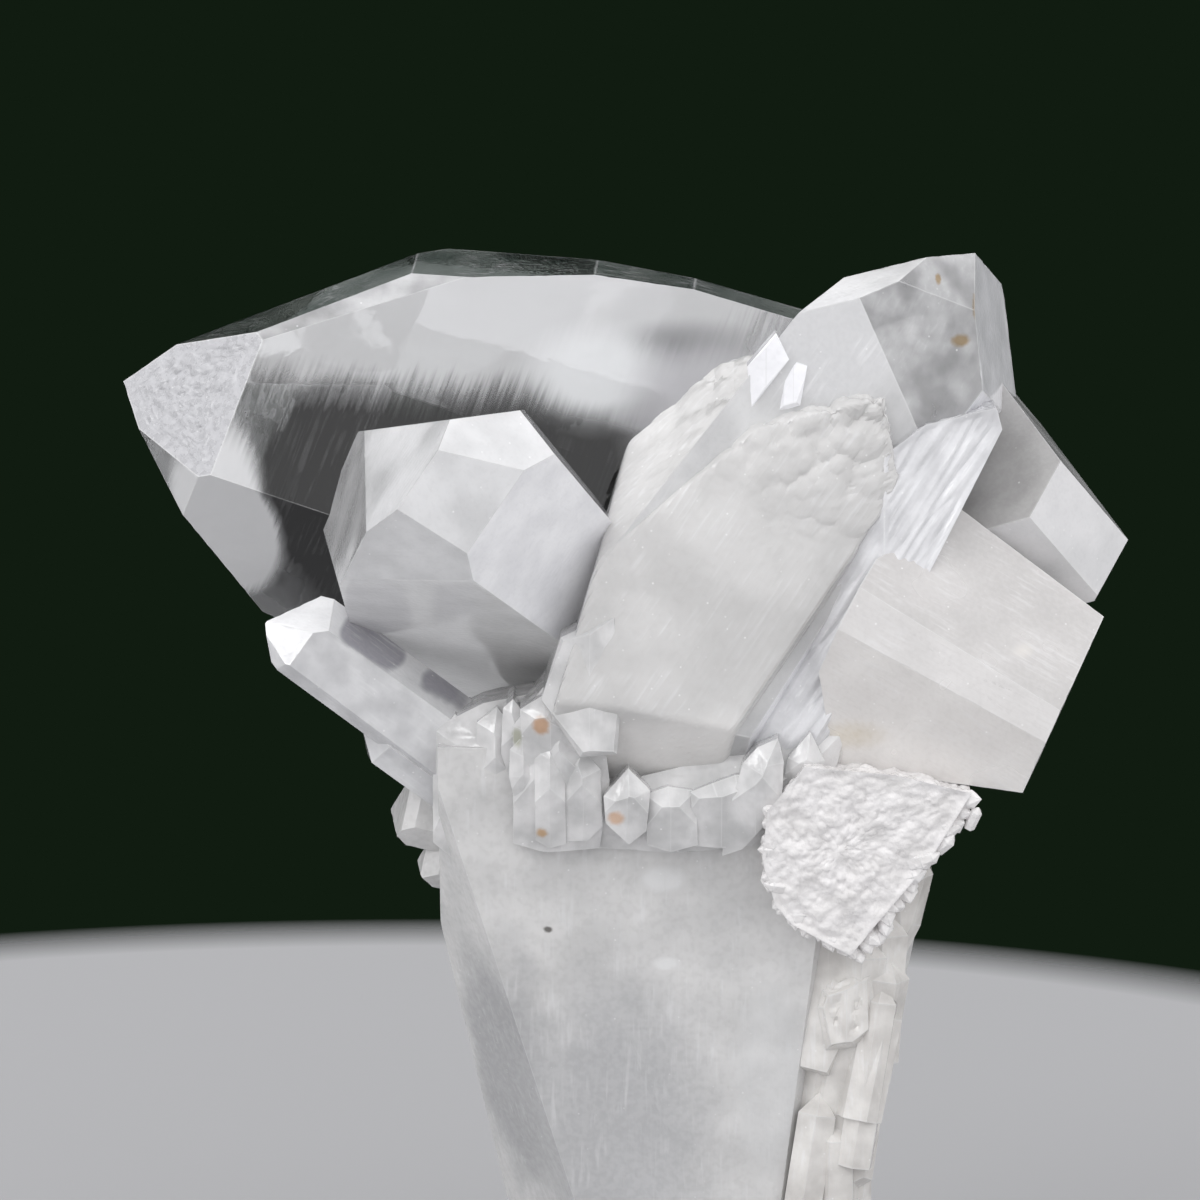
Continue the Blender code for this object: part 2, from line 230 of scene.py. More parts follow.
def put_mesh(name, parts, materials, weld=1e-4, crease=16.0):
    """One mesh object from (points in mm, quads, slots, edge marks); equal points are welded."""
    points, quads, slots, edges, total = [], [], [], [], 0
    for part_points, part_quads, part_slots, part_edges in parts:
        points.append(part_points)
        quads.append(part_quads + total)
        slots.append(part_slots)
        edges.append(part_edges)
        total += len(part_points)
    points, quads = np.concatenate(points), np.concatenate(quads)
    slots, edges = np.concatenate(slots), np.concatenate(edges)
    points[:, 2] = np.maximum(points[:, 2], 0.0)
    _, first, joined = np.unique((points / weld + WELD_SHIFT).round().astype(np.int64), axis=0,
                                 return_index=True, return_inverse=True)
    quads = joined.ravel()[quads]
    same = quads[:, 2] == quads[:, 3]
    sizes = np.where(same, 3, 4)
    loops = quads.ravel()[(np.arange(4)[None, :] < sizes[:, None]).ravel()]
    mesh = bpy.data.meshes.new(name)
    mesh.vertices.add(len(first))
    mesh.vertices.foreach_set("co", (points[first] * MM).ravel())
    mesh.loops.add(len(loops))
    mesh.loops.foreach_set("vertex_index", loops.astype(np.int32))
    mesh.polygons.add(len(quads))
    mesh.polygons.foreach_set("loop_start", (np.cumsum(sizes) - sizes).astype(np.int32))
    mesh.polygons.foreach_set("material_index", slots.astype(np.int32))
    mesh.polygons.foreach_set("use_smooth", np.ones(len(quads), bool))
    mark = mesh.attributes.new("edge", 'FLOAT', 'POINT')
    mark.data.foreach_set("value", edges[first].astype(np.float32))
    for material in materials:
        mesh.materials.append(material)
    mesh.update(calc_edges=True)
    mesh.validate()
    mesh.set_sharp_from_angle(angle=math.radians(crease))
    piece = bpy.data.objects.new(name, mesh)
    bpy.context.scene.collection.objects.link(piece)
    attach(piece, "root")
    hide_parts("quartz_cluster")
    return piece


def crystal(heart, axis, roll, faces, foot, cuts=(), step=0.8, relief=None, slot=0, slots=None,
            fine=None, sharp=None, grid=(60, 60)):
    """Points in mm, quads, slots and edge marks of one crystal; faces are (turn, lean, reach)."""
    heart = np.array(heart, float)
    planes = face_planes(axis, roll, faces, foot, cuts, heart)
    if sharp:
        points, quads, marks, edges = rounded_surface(planes, sharp, *grid, relief=relief)
    else:
        points, quads, marks, edges = faceted_surface(planes, step, relief or growth(), fine)
    chosen = np.full(len(planes[1]), slot)
    for number, other in (slots or {}).items():
        chosen[number] = other
    return points + heart, quads, chosen[marks], edges


def even_faces(radius):
    """Six like sides and six tip faces that meet in a point, for a small crystal."""
    reach = radius * math.sin(math.radians(TIP_LEAN))
    return [(60.0 * i, 90.0, radius) for i in range(6)] + [(60.0 * i, TIP_LEAN, reach) for i in range(6)]


def even_crystal(tip, axis, roll, radius, length, cuts=(), **more):
    """Small crystal placed by its point: its heart lies back from it by the height of the point."""
    axis = np.array(axis, float) / np.linalg.norm(axis)
    height = radius * math.tan(math.radians(TIP_LEAN))
    return crystal(np.array(tip, float) - axis * height, axis, roll, even_faces(radius),
                   length - height, cuts, **more)


def quartz(name, light, dark, glass, rough, cloud=9.0, contrast=0.35, lines=None, windows=(), spots=(),
           rim=0.5, grain=(0.5, 0.02), coat=0.3, absorb=None, painted_glints=0.6, mottle=0.06, wobble=0.5, torn=False):
    """Quartz between milky and clear, as nodes on Object coordinates in millimetres.

    Base colour runs from dark to light with a cloud noise, and glass is the transmission weight at
    the light and dark ends. lines = (rows, along, across, tint, depth) draws a noise that is stretched
    in the crystal's own frame. windows = (centre, radii, soft, glass, colour) are clear places, and a
    dark colour there paints shade; spots = (centre, radii, colour, strength) are stains, and a pale one
    can paint light; both are soft blobs whose outline a noise bends. The white speck dots are painted
    glints, and rim whitens the marked edges as a painted highlight, partly the white of small chips.
    """
    material = bpy.data.materials.new(name)
    material.use_nodes = True
    nodes, links = material.node_tree.nodes, material.node_tree.links
    shader = nodes["Principled BSDF"]

    def add(kind, settings=(), **inputs):
        node = nodes.new(kind)
        for key, value in settings:
            setattr(node, key, value)
        for key, value in inputs.items():
            socket = node.inputs[int(key[1:])] if key[0] == "n" and key[1:].isdigit() else node.inputs[key]
            if isinstance(value, bpy.types.NodeSocket):
                links.new(value, socket)
            else:
                socket.default_value = value
        return node

    def ramp(value, low, high, start=0.0, end=1.0):
        node = add("ShaderNodeMapRange", [("interpolation_type", 'SMOOTHSTEP')], Value=value)
        for key, number in (("From Min", low), ("From Max", high), ("To Min", start), ("To Max", end)):
            node.inputs[key].default_value = number
        return node.outputs["Result"]

    def blend(factor, first, second):
        kind = 'RGBA' if isinstance(second, tuple) else 'FLOAT'
        node = add("ShaderNodeMix", [("data_type", kind)])
        ends = (6, 7) if kind == 'RGBA' else (2, 3)
        for socket, value in ((0, factor), (ends[0], first), (ends[1], second)):
            if isinstance(value, bpy.types.NodeSocket):
                links.new(value, node.inputs[socket])
            else:
                node.inputs[socket].default_value = (*value, 1.0) if isinstance(value, tuple) else value
        return node.outputs[2 if kind == 'RGBA' else 0]

    def noise(vector, size, detail):
        node = add("ShaderNodeTexNoise", Vector=vector, Scale=1.0 / size, Detail=detail)
        return node.outputs["Fac"]

    place = add("ShaderNodeVectorMath", [("operation", 'SCALE')], n0=add("ShaderNodeTexCoord").outputs["Object"],
                Scale=1000.0).outputs[0]
    clouds = noise(place, cloud, 2.0)
    tone = ramp(clouds, 0.5 - contrast, 0.5 + contrast)
    colour = blend(tone, dark, light)
    clear = ramp(tone, 0.0, 1.0, glass[1], glass[0])
    bend = noise(place, 4.0, 1.0)
    if lines:
        rows, along, across, tint, depth = lines
        parts = [add("ShaderNodeVectorMath", [("operation", 'DOT_PRODUCT')], n0=place,
                     n1=tuple(row / size)).outputs["Value"] for row, size in zip(rows, (across, across, along))]
        streaks = noise(add("ShaderNodeCombineXYZ", X=parts[0], Y=parts[1], Z=parts[2]).outputs[0], 1.0, 2.0)
    wave = streaks if torn else bend

    def blob(centre, radii, soft, wave, wobble):
        offset = add("ShaderNodeVectorMath", [("operation", 'SUBTRACT')], n0=place, n1=tuple(centre))
        share = add("ShaderNodeVectorMath", [("operation", 'DIVIDE')], n0=offset.outputs[0], n1=tuple(radii))
        length = add("ShaderNodeVectorMath", [("operation", 'LENGTH')], n0=share.outputs[0])
        wavy = add("ShaderNodeMath", [("operation", 'MULTIPLY_ADD')], n0=wave, n1=wobble, n2=length.outputs["Value"])
        return ramp(wavy.outputs[0], 1.0 + 0.5 * wobble + soft, 1.0 + 0.5 * wobble - soft)

    for centre, radii, soft, amount, shade in windows:
        mask = blob(centre, radii, soft, wave, wobble)
        colour = blend(mask, colour, shade)
        clear = blend(mask, clear, amount)
    fine = noise(place, grain[0], 1.0)
    height = add("ShaderNodeMath", [("operation", 'MULTIPLY')], n0=fine, n1=grain[1]).outputs[0]
    if mottle:
        colour = blend(ramp(fine, 0.42, 0.66, 0.0, mottle), colour, (0.97, 0.97, 0.97))
        colour = blend(ramp(fine, 0.5, 0.3, 0.0, mottle), colour, (0.5, 0.5, 0.5))
    if lines:
        fade = ramp(bend, 0.4, 0.6)
        mask = add("ShaderNodeMath", [("operation", 'MULTIPLY')], n0=ramp(streaks, 0.5, 0.75), n1=fade).outputs[0]
        strength = add("ShaderNodeMath", [("operation", 'MULTIPLY')], n0=mask, n1=abs(tint)).outputs[0]
        colour = blend(strength, colour, (0.95, 0.95, 0.96) if tint > 0.0 else (0.3, 0.3, 0.31))
        height = add("ShaderNodeMath", [("operation", 'MULTIPLY_ADD')], n0=streaks, n1=depth, n2=height).outputs[0]
    # White speck dots: painted glints, small highlights scattered over the faces.
    if painted_glints:
        cells = add("ShaderNodeTexVoronoi", Vector=place, Scale=1.1)
        near = ramp(cells.outputs["Distance"], 0.1 + 0.1 * painted_glints, 0.05)
        drawn = ramp(add("ShaderNodeSeparateColor", Color=cells.outputs["Color"]).outputs[0], 0.6, 0.9, 0.0, painted_glints)
        mask = add("ShaderNodeMath", [("operation", 'MULTIPLY')], n0=near, n1=drawn).outputs[0]
        colour = blend(mask, colour, (0.97, 0.97, 0.97))
        clear = blend(mask, clear, 0.1)
    for centre, radii, stain, strength in spots:
        mask = add("ShaderNodeMath", [("operation", 'MULTIPLY')], n0=blob(centre, radii, 0.4, fine, 2.0 / (1.0 + max(radii))), n1=strength).outputs[0]
        colour = blend(mask, colour, stain)
    # The marked edges are whitened and made less clear: a painted highlight along the facet edges, partly the white of
    # their small chips.
    edge_highlight_and_wear = add("ShaderNodeAttribute", [("attribute_name", "edge")]).outputs["Fac"]
    edge_highlight_and_wear = add("ShaderNodeMath", [("operation", 'MULTIPLY')], n0=edge_highlight_and_wear, n1=rim).outputs[0]
    colour = blend(edge_highlight_and_wear, colour, (0.95, 0.95, 0.95))
    clear = blend(edge_highlight_and_wear, clear, 0.3)
    links.new(colour, shader.inputs["Base Color"])
    links.new(clear, shader.inputs["Transmission Weight"])
    links.new(ramp(clouds, 0.3, 0.7, rough[0], rough[1]), shader.inputs["Roughness"])
    bump = add("ShaderNodeBump", Height=height, Strength=1.0, Distance=MM)
    links.new(bump.outputs["Normal"], shader.inputs["Normal"])
    shader.inputs["IOR"].default_value = 1.55
    shader.inputs["Coat Weight"].default_value = coat
    shader.inputs["Coat Roughness"].default_value = 0.06
    if absorb:
        density, tint = absorb
        volume = add("ShaderNodeVolumeAbsorption", Color=(*tint, 1.0), Density=density)
        links.new(volume.outputs["Volume"], nodes["Material Output"].inputs["Volume"])
    return material


trunk_faces = [(-90.0, 96.0, 17.0), (-150.0, 108.0, 24.0), (150.0, 93.0, 16.5), (180.0, 90.0, 24.0),
               (90.0, 96.0, 21.0), (30.0, 101.0, 22.5), (-30.0, 99.0, 20.0), (0.0, 0.0, 19.0)]
trunk_white = quartz("trunk_quartz", (0.83, 0.82, 0.81), (0.78, 0.775, 0.77), (0.2, 0.35), (0.15, 0.25), cloud=7.0,
                     lines=(np.eye(3), 9.0, 0.5, 0.4, 0.04), painted_glints=0.4, grain=(0.7, 0.05), mottle=0.12,
                     windows=[((-12.0, -9.5, 33.0), (5.0, 9.0, 17.0), 0.35, 0.4, (0.6, 0.6, 0.61)),
                              ((-1.0, -15.0, 29.0), (9.0, 9.0, 15.0), 0.5, 0.35, (0.66, 0.66, 0.67))],
                     spots=[((3.7, -15.6, 55.6), (1.9, 2.0, 1.2), (0.92, 0.92, 0.92), 0.9),
                            ((4.1, -14.7, 46.9), (1.2, 2.0, 0.6), (0.92, 0.92, 0.92), 0.9),
                            ((-7.6, -15.1, 50.4), (0.4, 1.0, 0.3), (0.12, 0.11, 0.1), 0.9),
                            ((14.5, -13.5, 35.0), (3.4, 4.0, 10.0), (0.9, 0.9, 0.9), 0.6)])
put_mesh("trunk", [crystal((5.55, 2.05, 50.0), UP, 0.0, trunk_faces, 50.0, step=0.75)], [trunk_white])


# Large clear crystal at the back. It is a water-clear quartz point with bevelled edges, one
# frosted facet that was etched at its left end, and a milky veil through its upper half.
clear_faces = [
    (0.0, 87.1, 7.2), (60.0, 69.4, 13.35), (60.0, 77.7, 15.3), (60.0, 84.9, 18.0),
    (120.0, 86.9, 13.6), (180.0, 88.0, 25.0), (-120.0, 84.3, 27.8), (-60.0, 90.3, 17.7),
    (0.0, TIP_LEAN, 17.2), (60.0, TIP_LEAN, 13.9), (120.0, TIP_LEAN, 13.9), (180.0, TIP_LEAN, 22.5),
    (-60.0, TIP_LEAN, 27.0), (-120.0, TIP_LEAN, 27.3), (24.5, 69.4, 11.4),
]
clear_axis, frosted_face, bevel_face = direction(-179.0, 21.4), 8, 14
smooth_face = growth(0.02, 14.0, 0.004, 0.9)


def clear_relief(points, number, along, across):
    """Nearly flat growth faces, and sugary lumps of two sizes on the etched facet."""
    if number != frosted_face:
        return smooth_face(points, number, along, across)
    return 0.22 * bubbles(points, 1.1, 3) + 0.14 * bubbles(points, 0.5, 4) - 0.2


# The first four windows are black, fully clear channels through the clear crystal: painted shade, a dark band that
# stands for the dark room seen through it.
clear_glass = quartz("clear_quartz", (0.96, 0.96, 0.97), (0.96, 0.96, 0.97), (0.97, 1.0), (0.0, 0.02), cloud=11.0,
                     lines=(crystal_frame(clear_axis, 16.0), 0.35, 7.0, 0.02, 0.004), coat=0.0, painted_glints=0.0,
                     mottle=0.0, wobble=0.14, torn=True,
                     grain=(1.5, 0.01), absorb=(6.0, (0.9, 0.92, 0.92)),
                     windows=[((-22.0, -20.0, 91.7), (16.8, 38.0, 17.4), 0.05, 1.0, (0.0, 0.0, 0.0)),
                              ((-11.0, -20.0, 90.5), (18.0, 38.0, 17.6), 0.06, 1.0, (0.0, 0.0, 0.0)),
                              ((0.0, -20.0, 89.0), (14.5, 38.0, 14.5), 0.25, 1.0, (0.0, 0.0, 0.0)),
                              ((-24.5, -20.0, 81.0), (13.6, 38.0, 16.0), 0.25, 1.0, (0.0, 0.0, 0.0)),
                              ((-14.0, 0.0, 130.0), (50.0, 14.0, 28.0), 0.09, 0.5, (0.78, 0.78, 0.79)),
                              ((6.0, 3.0, 106.5), (5.0, 7.0, 1.8), 0.9, 0.7, (0.30, 0.30, 0.31)),
                              ((1.5, 0.0, 99.5), (3.0, 5.0, 1.2), 0.5, 0.7, (0.35, 0.35, 0.36)),
                              ((-2.5, 0.0, 104.0), (7.0, 6.0, 4.5), 0.45, 0.25, (0.78, 0.79, 0.80)),
                              ((-40.5, 0.0, 86.0), (6.0, 8.0, 14.0), 0.12, 0.35, (0.8, 0.8, 0.81)),
                              ((9.0, 0.0, 101.0), (8.0, 5.0, 8.0), 0.4, 0.5, (0.72, 0.71, 0.74))])
sugary = quartz("sugary_quartz", (0.54, 0.54, 0.56), (0.48, 0.48, 0.50), (0.1, 0.25), (0.2, 0.4), cloud=0.8,
                grain=(0.35, 0.05), rim=0.6)
# The bevel face takes a brighter, less clear copy of the glass: painted light for the glow along the crystal's upper
# edge.
bevel_painted_light_glass = quartz("bevel_painted_light_quartz", (0.80, 0.80, 0.81), (0.60, 0.60, 0.61), (0.4, 0.7), (0.0, 0.05), cloud=5.0)
# Faces 1, 2, 3 and 9 take a dark green glass: painted shade, the dark green room seen through the crystal's upper
# strips.
dark_refraction_glass = quartz("dark_refraction_quartz", (0.22, 0.26, 0.23), (0.02, 0.04, 0.03), (0.9, 1.0), (0.0, 0.02), cloud=6.0,
                     lines=(crystal_frame(clear_axis, 16.0), 5.0, 0.5, 0.4, 0.01), coat=0.0, painted_glints=0.0, mottle=0.0)
put_mesh("clear_crystal", [crystal((-17.65, 7.05, 100.8), clear_axis, 16.0, clear_faces, 48.0, step=0.8,
                                   relief=clear_relief, slots={frosted_face: 1, bevel_face: 2, 1: 3, 2: 3, 3: 3, 9: 3},
                                   fine={frosted_face: 0.2})], [clear_glass, sugary, bevel_painted_light_glass, dark_refraction_glass])


# Upright crystal on the right, glass clear at its top and milky below, with a later milky
# overgrowth on its front that stops in a rough rounded rim.
def shard(outline, front, back, bevel=35.0, depth=0.8, ridge=10.0, tilt=0.0, **more):
    """Small broken or grown piece with an (x, z) outline, in millimetres.

    Each side of the outline carries a straight wall and a plane leaned towards the viewer by bevel
    degrees that meets the wall at depth behind the front. Two front planes, turned apart by ridge
    and up by tilt, meet in an upright ridge.
    """
    corners = np.stack([np.array(outline)[:, 0], np.full(len(outline), front + depth),
                        np.array(outline)[:, 1]], axis=1)
    centre = corners.mean(axis=0)
    lean, turn, rise = math.radians(bevel), math.radians(ridge), math.radians(tilt)
    cuts = [((centre[0], back, centre[2]), (0.0, 1.0, 0.0))]
    for side in (-1.0, 1.0):
        cuts.append(((centre[0], front, centre[2]), (side * math.sin(turn), -math.cos(turn) * math.cos(rise),
                                                     math.sin(rise))))
    for start, end in zip(corners, np.roll(corners, -1, axis=0)):
        wall = np.array([end[2] - start[2], 0.0, start[0] - end[0]])
        wall *= np.sign(wall @ (start - centre)) / np.linalg.norm(wall)
        cuts.append((start, wall))
        cuts.append((start, wall * math.cos(lean) + np.array([0.0, -math.sin(lean), 0.0])))
    return crystal(centre, UP, 0.0, [(0.0, 0.0, 90.0)], 90.0, cuts, **more)


upright_faces = [
    (0.0, 90.0, 12.0), (-60.0, 90.0, 20.9), (-120.0, 86.5, 6.6), (180.0, 88.0, 20.0),
    (120.0, 89.5, 16.9), (60.0, 88.8, 10.4),
    (0.0, TIP_LEAN, 16.4), (-60.0, TIP_LEAN, 17.2), (-120.0, TIP_LEAN, 11.0),
    (180.0, TIP_LEAN, 18.0), (120.0, TIP_LEAN, 19.9), (60.0, TIP_LEAN, 13.5),
]
upright_heart, upright_axis, upright_roll = (23.45, -4.95, 100.1), direction(12.3, 54.8), 178.7
upright_rows = crystal_frame(upright_axis, upright_roll)
RUST = (0.45, 0.27, 0.06)
upright_quartz = quartz("upright_quartz", (0.90, 0.90, 0.90), (0.86, 0.86, 0.87), (0.3, 0.5), (0.05, 0.12),
                        cloud=7.0, lines=(upright_rows, 5.0, 0.5, 0.5, 0.03),
                        windows=[((19.0, -17.5, 109.0), (9.0, 8.0, 6.0), 0.3, 0.15, (0.72, 0.72, 0.73))])
# The pearly white is painted light: it brightens faces 5 and 11 of the upright crystal, which sit in shade, and whitens
# the two small facets in front of it.
pearly_painted_light = quartz("pearly_painted_light_quartz", (0.97, 0.97, 1.0), (0.90, 0.90, 0.93), (0.0, 0.1), (0.05, 0.1), cloud=3.0,
                lines=(upright_rows, 4.0, 0.3, 0.3, 0.02))
upright_clear = quartz("upright_clear", (0.80, 0.80, 0.81), (0.66, 0.66, 0.67), (0.4, 0.7), (0.02, 0.08), cloud=4.0,
                       lines=(upright_rows, 4.0, 0.4, 0.5, 0.02),
                       spots=[((30.8, -12.3, 114.9), (0.3, 1.6, 0.5), RUST, 0.8),
                              ((33.0, -14.0, 108.9), (0.9, 5.0, 0.6), RUST, 0.8),
                              ((34.5, -11.6, 112.2), (0.3, 2.0, 1.2), RUST, 0.6)])
# Faces 5 and 11 take the pearly white, painted light on faces that sit in shade.
put_mesh("upright_crystal", [crystal(upright_heart, upright_axis, upright_roll, upright_faces, 70.0,
         [((-6.55, 0.0, 75.5), (-0.96, 0.0, 0.28)), ((0.0, 0.0, 63.5), DOWN),
          ((0.0, -22.5, 73.5), (0.0, -0.75, -0.66)), ((24.5, -17.1, 108.0), (0.42, -0.9, 0.12))],
         slots={5: 1, 11: 1, 6: 2, 16: 2})], [upright_quartz, pearly_painted_light, upright_clear])
overgrowth_faces = [
    (0.0, 90.0, 13.5), (-10.0, 90.0, 14.8), (-60.0, 90.0, 20.8), (60.0, 90.0, 9.9), (180.0, 90.0, 0.0),
    (-60.0, TIP_LEAN, 8.7), (0.0, TIP_LEAN, 12.0), (60.0, TIP_LEAN, 5.6),
]


def lumpy(points, number, along, across):
    """Low rounded lumps that grow towards the rough rim of the overgrowth."""
    near_rim = np.clip((along - along.max() + 30.0) / 30.0, 0.0, 1.0) ** 1.5
    return (1.6 * bubbles(points, 2.6, 8) + 0.6 * bubbles(points, 1.2, 9) - 1.5) * near_rim


frosty_flank = quartz("flank_quartz", (0.78, 0.78, 0.80), (0.64, 0.64, 0.66), (0.05, 0.2), (0.12, 0.25), cloud=5.0,
                      lines=(upright_rows, 4.0, 0.35, 0.5, 0.06))


def wrinkles(points, number, along, across):
    """Low ridges that run along the upright crystal, from a noise stretched six times that way."""
    own = points @ upright_rows.T / np.array([1.0, 1.0, 6.0])
    return 0.3 * np.abs(smooth_noise(own, 2.4, 41)) + 0.12 * smooth_noise(own, 1.1, 42) - 0.25


flank_outline = [(11.5, 69.5), (17.0, 84.0), (24.5, 97.5), (29.5, 101.0), (36.5, 102.5), (37.4, 99.0), (35.5, 94.0),
                 (27.0, 81.0), (20.5, 68.5), (14.5, 67.0)]
flank = [shard(flank_outline, -18.9, -6.0, 50.0, 0.8, 12.0, 5.0, step=0.35, relief=wrinkles)]
put_mesh("upright_flank", flank, [frosty_flank])
# Two small facets on the upright crystal's front in near-white pearly colour: a painted glint, partly their own pearly
# lustre.
glints = [shard([(14.7, 110.3), (16.0, 107.7), (12.3, 102.9), (11.9, 107.0)], -19.45, -16.0, 50.0, 0.15, 4.0,
                step=0.5),
          shard([(16.0, 107.6), (17.8, 107.0), (17.1, 103.1), (14.8, 102.4)], -18.75, -16.0, 50.0, 0.15, 2.0,
                tilt=8.0, step=0.5)]
put_mesh("upright_facets", glints, [pearly_painted_light])
# The overgrowth's pale spot low on its front is painted light: it lifts the downward-facing cut face out of its shade
# to a pale cream.
milky = quartz("milky_quartz", (0.79, 0.78, 0.77), (0.75, 0.74, 0.73), (0.2, 0.32), (0.08, 0.18), cloud=8.0, coat=0.5,
               lines=(upright_rows, 6.0, 0.45, 0.45, 0.05), grain=(0.9, 0.06), mottle=0.05,
               spots=[((5.5, -18.0, 70.0), (9.0, 8.0, 3.2), (0.97, 0.95, 0.93), 0.8)])
put_mesh("overgrowth", [crystal(upright_heart, upright_axis, upright_roll, overgrowth_faces, 70.0,
         [((-6.5, 0.0, 75.5), (-0.96, 0.0, 0.28)), ((0.0, 0.0, 64.0), DOWN), ((0.0, -23.4, 73.5), (0.0, -0.75, -0.66)),
          ((11.7, -19.5, 100.7), (-0.52, -0.45, 0.72))], sharp=60.0, grid=(240, 200),
         relief=lumpy)], [milky])


# Short fat crystal in front of the clear one, a stubby quartz point with many small bevels,
# glassy faces with scratches and a clear grey wedge under its ridge.
front_faces = [
    (0.0, 90.0, 7.3), (-60.0, 90.0, 6.4), (-88.0, 91.0, 14.5), (74.0, 96.0, 11.8),
    (127.3, 68.8, 11.9), (-169.3, 59.1, 15.7), (-125.4, 70.9, 13.5),
    (0.0, 48.9, 13.2), (-60.0, 68.7, 8.8), (180.0, 44.4, 11.5), (60.0, 49.0, 15.8),
    (-156.4, 53.9, 11.4),
]
front_axis = direction(-115.3, 24.0)
front_quartz = quartz("front_quartz", (0.93, 0.93, 0.94), (0.88, 0.88, 0.89), (0.2, 0.35), (0.04, 0.1), cloud=6.0,
                      lines=(crystal_frame(front_axis, -27.1), 3.0, 0.25, 0.3, 0.01))
# Faces 0 and 3 take a lighter copy of the front quartz, and face 1, in the crevice's shade, a lighter and less clear
# one: painted light.
front_painted_light = quartz("front_painted_light", (0.98, 0.98, 1.0), (0.94, 0.94, 0.97), (0.05, 0.15), (0.04, 0.1), cloud=4.0,
                      lines=(crystal_frame(front_axis, -27.1), 2.0, 0.25, 0.3, 0.01))
front_low_painted_light = quartz("front_low_painted_light", (0.95, 0.95, 0.95), (0.90, 0.90, 0.90), (0.1, 0.2), (0.04, 0.1), cloud=5.0,
                   lines=(crystal_frame(front_axis, -27.1), 2.0, 0.25, 0.3, 0.01))
put_mesh("front_crystal", [crystal((-15.05, -22.95, 90.4), front_axis, -27.1, front_faces, 34.0,
                                   [((-15.0, 3.0, 88.0), (0.0, 0.75, 0.66))], step=0.6, slots={0: 1, 1: 2, 3: 1})], [front_quartz, front_painted_light, front_low_painted_light])


# Slender clear crystal at the lower left and a small one under it, both clear quartz points
# with milky patches between purple-grey windows.
slender_faces = [
    (0.0, 90.0, -0.9), (60.0, 90.0, -1.0), (120.0, 90.0, 5.0), (180.0, 90.0, 12.0),
    (-120.0, 90.0, 7.2), (-60.0, 89.3, 4.5),
    (0.0, TIP_LEAN, 3.6), (60.0, TIP_LEAN, 2.8), (-60.0, TIP_LEAN, 8.0), (180.0, TIP_LEAN, 9.6),
    (-120.0, TIP_LEAN, 10.6),
]
slender_axis = direction(-164.2, 37.1)
slender_lines = (crystal_frame(slender_axis, -0.5), 4.0, 0.4, 0.6, 0.01)
slender_windows = [((x, -20.0, 80.8 - 0.69 * (x + 27.0)), (1.7, 12.0, 1.6), 0.15, 0.3, (0.52, 0.51, 0.56))
                   for x in (-26.4, -25.4, -24.4, -23.4, -22.6, -18.8, -17.8, -16.8, -15.8)]
slender_quartz = quartz("slender_quartz", (0.88, 0.88, 0.89), (0.80, 0.80, 0.82), (0.2, 0.4), (0.04, 0.1), cloud=4.0,
                        lines=slender_lines, wobble=0.25, windows=slender_windows)
# Faces 1 and 7 take a lighter, less clear copy of the slender quartz: painted light that lifts them out of their shade.
slender_painted_light = quartz("slender_painted_light", (0.95, 0.95, 0.96), (0.90, 0.90, 0.91), (0.1, 0.2), (0.04, 0.1), cloud=4.0,
                        lines=slender_lines, wobble=0.25, windows=slender_windows)
put_mesh("slender_crystal", [crystal((-24.05, -16.95, 77.7), slender_axis, -0.5, slender_faces, 30.0,
                                     step=0.6, slots={1: 1, 7: 1})], [slender_quartz, slender_painted_light])
put_mesh("under_crystal", [even_crystal((-26.25, -12.95, 71.2), slender_axis, 20.0, 2.6, 22.0,
                                        step=0.6)], [slender_quartz])


# Blocky milky crystal at the right and the pale one behind it, both quartz with satin faces
# where later growth has etched them.
blocky_faces = [
    (0.0, 88.6, 10.8), (29.0, 90.0, 12.4), (60.0, 90.0, 12.7), (120.0, 69.1, 12.7),
    (180.0, 90.0, 18.0), (-120.0, 90.0, 15.0), (-60.0, 81.7, 11.5), (10.5, 11.0, 12.5),
]
blocky_axis = direction(3.1, -29.1)
# The top tone, on face 0, is darker as painted shade for a face that looks up into the light. The low tone, on face 2,
# is lighter as painted light for the lower face. The band tone is the quartz's own.
blocky_lit_and_shaded_tones = [("band", (0.84, 0.82, 0.81), (0.80, 0.78, 0.77)), ("top", (0.68, 0.66, 0.65), (0.64, 0.62, 0.61)),
                ("low", (0.90, 0.88, 0.86), (0.86, 0.83, 0.81))]
blocky_quartz = [quartz("blocky_" + name, light, dark, (0.15, 0.25), (0.2, 0.3), cloud=8.0,
                        lines=(crystal_frame(blocky_axis, 143.6), 3.0, 0.4, 0.25, 0.03),
                        spots=[((22.0, -30.0, 70.4), (4.5, 12.0, 2.0), (0.66, 0.55, 0.36), 0.7),
                               ((39.2, -24.3, 79.0), (1.4, 6.0, 0.9), (0.90, 0.86, 0.80), 0.7)], rim=0.6)
                 for name, light, dark in blocky_lit_and_shaded_tones]
blocky_cuts = [((20.0, -25.6, 81.6), (-0.88, 0.2, 0.43)), ((18.3, -26.0, 72.0), (-0.98, 0.2, -0.1)),
               ((24.8, -22.0, 88.5), (-0.48, 0.1, 0.87))]
put_mesh("blocky_crystal", [crystal((32.35, -8.95, 77.5), blocky_axis, 143.6, blocky_faces, 20.0, blocky_cuts,
                                    step=0.6, relief=growth(0.05, 5.0, 0.02, 0.8), slots={0: 1, 2: 2})], blocky_quartz)
